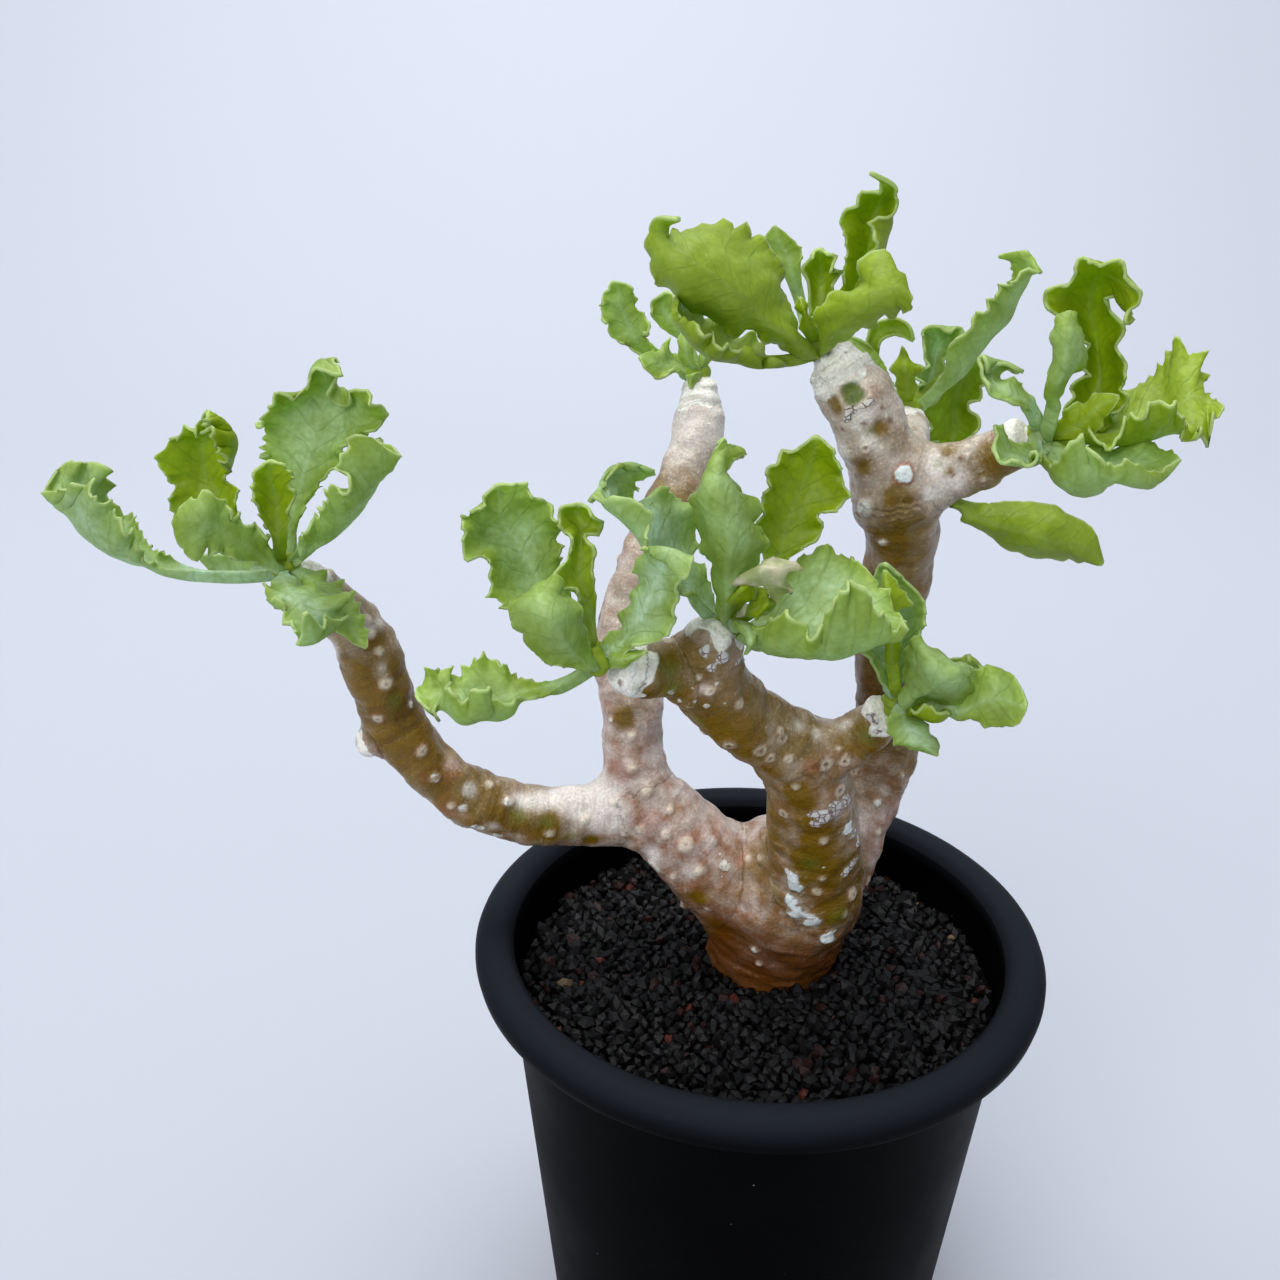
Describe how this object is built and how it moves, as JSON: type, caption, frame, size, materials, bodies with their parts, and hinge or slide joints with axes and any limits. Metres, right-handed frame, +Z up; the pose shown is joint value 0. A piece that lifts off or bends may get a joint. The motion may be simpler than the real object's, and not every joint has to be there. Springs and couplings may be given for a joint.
{
  "type": "potted caudex succulent",
  "caption": "Branching succulent with a swollen, knobbly stem and ruffled blue-green leaves, growing in a round black nursery pot filled with dark crushed lava.",
  "frame": {"origin": "centre of the flat underside of the pot", "axes": "+Z up out of the pot, -Y towards the front, +X to the viewer's right"},
  "size_m": [0.1821, 0.105, 0.228],
  "materials": {
    "pot": "fine satin moulded plastic, a little dusty",
    "gravel": "matt crushed lava grains",
    "stem": "waxy living bark, tan to olive, with pale scars",
    "leaf": "fleshy leaf with a soft blue-grey bloom"
  },
  "bodies": {
    "root": {"pot": "pot", "gravel": "gravel", "stem": "stem", "head_far_left": "leaf", "head_front_left": "leaf", "head_front": "leaf", "head_front_right": "leaf", "head_top": "leaf", "head_behind_right": "leaf", "leaf_low_right": "leaf", "head_right": "leaf", "head_behind_left": "leaf"}
  },
  "joints": []
}
